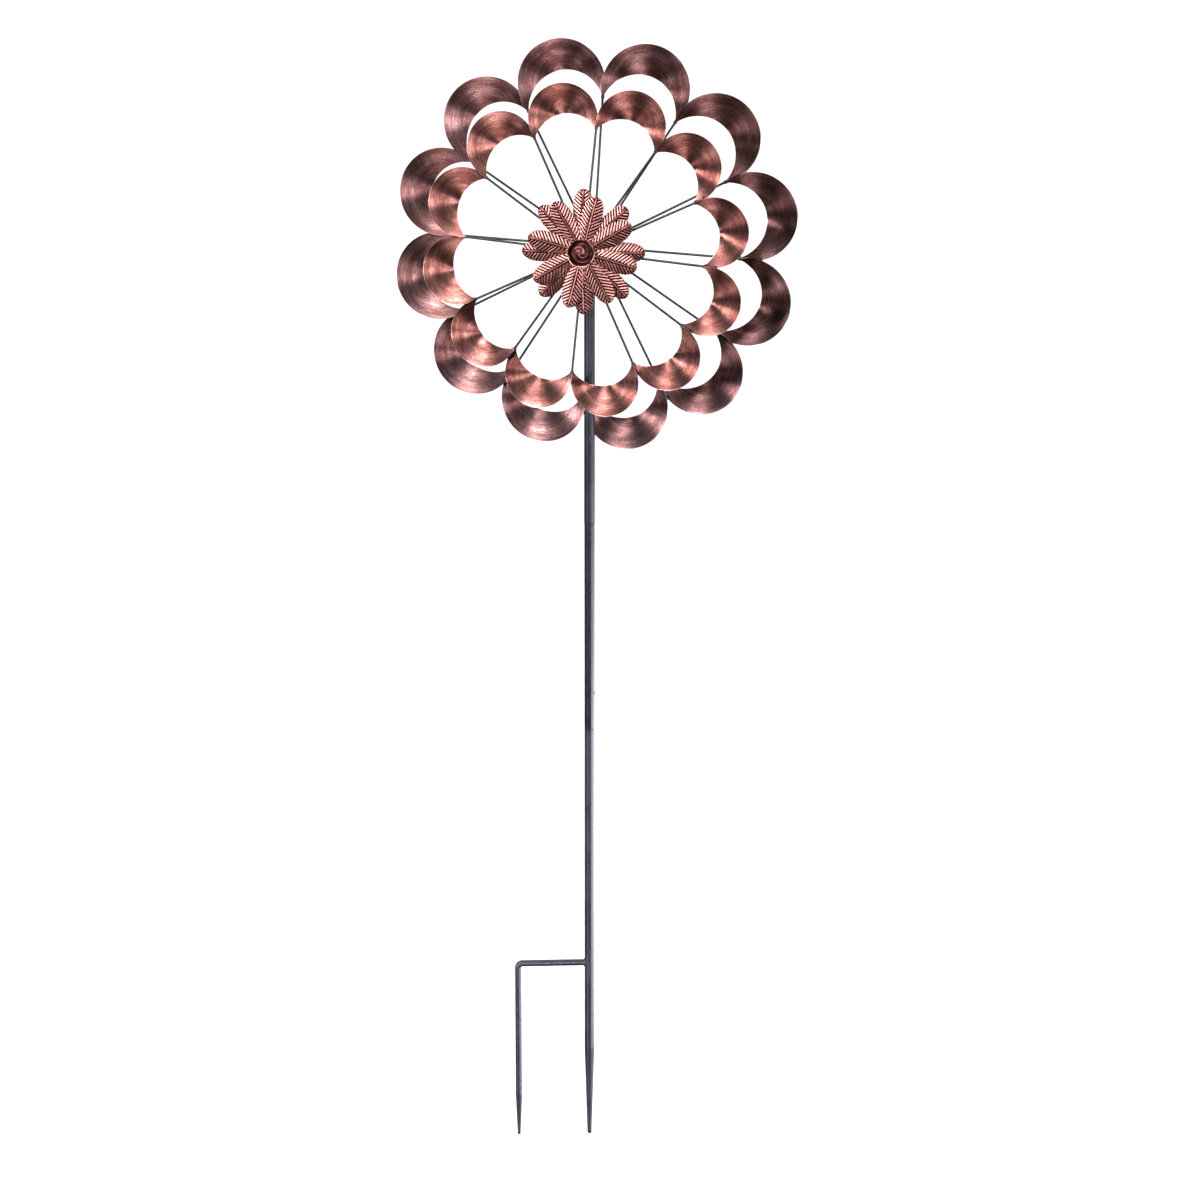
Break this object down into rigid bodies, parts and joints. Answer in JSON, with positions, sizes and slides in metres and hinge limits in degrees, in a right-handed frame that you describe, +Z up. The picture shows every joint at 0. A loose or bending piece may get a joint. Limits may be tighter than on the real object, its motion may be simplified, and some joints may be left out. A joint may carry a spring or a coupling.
{
  "type": "kinetic garden wind sculpture",
  "caption": "Garden wind spinner with a small and a large flower-shaped wheel of copper crescent blades on one axle, a leaf rosette, and a jointed pole with a ground fork.",
  "frame": {"origin": "the pole's axis at the ground line, which is the underside of the fork's crossbar", "axes": "+Z up along the pole, -Y the side that the wheels face, +X to the right as seen from the front"},
  "size_m": [0.6034, 0.1284, 1.6937],
  "materials": {
    "pole_black": "semi-gloss black paint",
    "stake_black": "semi-gloss grey-black paint",
    "spoke_black": "satin black paint",
    "cap_plastic": "moulded black plastic",
    "zinc_plate": "zinc plated",
    "bush_bronze": "sintered bronze",
    "front_copper": "brushed antique copper paint",
    "rear_copper": "dark brushed antique copper paint",
    "leaf_copper": "stamped leaves, copper paint rubbed back over black",
    "blossom_copper": "dark red copper paint"
  },
  "bodies": {
    "stand": {"lower_pole": "stake_black", "side_prong": "stake_black", "middle_pole": "pole_black", "upper_pole": "pole_black", "pole_cap": "cap_plastic", "joint_screws": "zinc_plate", "axle": "zinc_plate", "pole_jam_nuts": "zinc_plate", "axle_spacers": "zinc_plate", "thrust_washers": "zinc_plate", "front_axle_nut": "zinc_plate", "rear_dome_nut": "zinc_plate"},
    "front_wheel": {"front_hub": "spoke_black", "front_bushes": "bush_bronze", "front_spokes": "spoke_black", "front_blade_01": "front_copper", "front_blade_02": "front_copper", "front_blade_03": "front_copper", "front_blade_04": "front_copper", "front_blade_05": "front_copper", "front_blade_06": "front_copper", "front_blade_07": "front_copper", "front_blade_08": "front_copper", "front_blade_09": "front_copper", "front_blade_10": "front_copper", "front_blade_11": "front_copper", "front_blade_12": "front_copper", "back_leaf_plate": "leaf_copper", "front_leaf_plate": "leaf_copper", "blossom_cup": "blossom_copper", "blossom_bud": "blossom_copper"},
    "rear_wheel": {"rear_hub": "spoke_black", "rear_bushes": "bush_bronze", "rear_spokes": "spoke_black", "rear_blade_01": "rear_copper", "rear_blade_02": "rear_copper", "rear_blade_03": "rear_copper", "rear_blade_04": "rear_copper", "rear_blade_05": "rear_copper", "rear_blade_06": "rear_copper", "rear_blade_07": "rear_copper", "rear_blade_08": "rear_copper", "rear_blade_09": "rear_copper", "rear_blade_10": "rear_copper", "rear_blade_11": "rear_copper", "rear_blade_12": "rear_copper"}
  },
  "joints": [
    {"name": "front_wheel_spin", "type": "hinge", "parent": "stand", "child": "front_wheel", "pos_m": [0, -0.041, 1.112], "axis": [0, -1, 0], "continuous": true},
    {"name": "rear_wheel_spin", "type": "hinge", "parent": "stand", "child": "rear_wheel", "pos_m": [0, 0.032, 1.112], "axis": [0, -1, 0], "continuous": true}
  ]
}
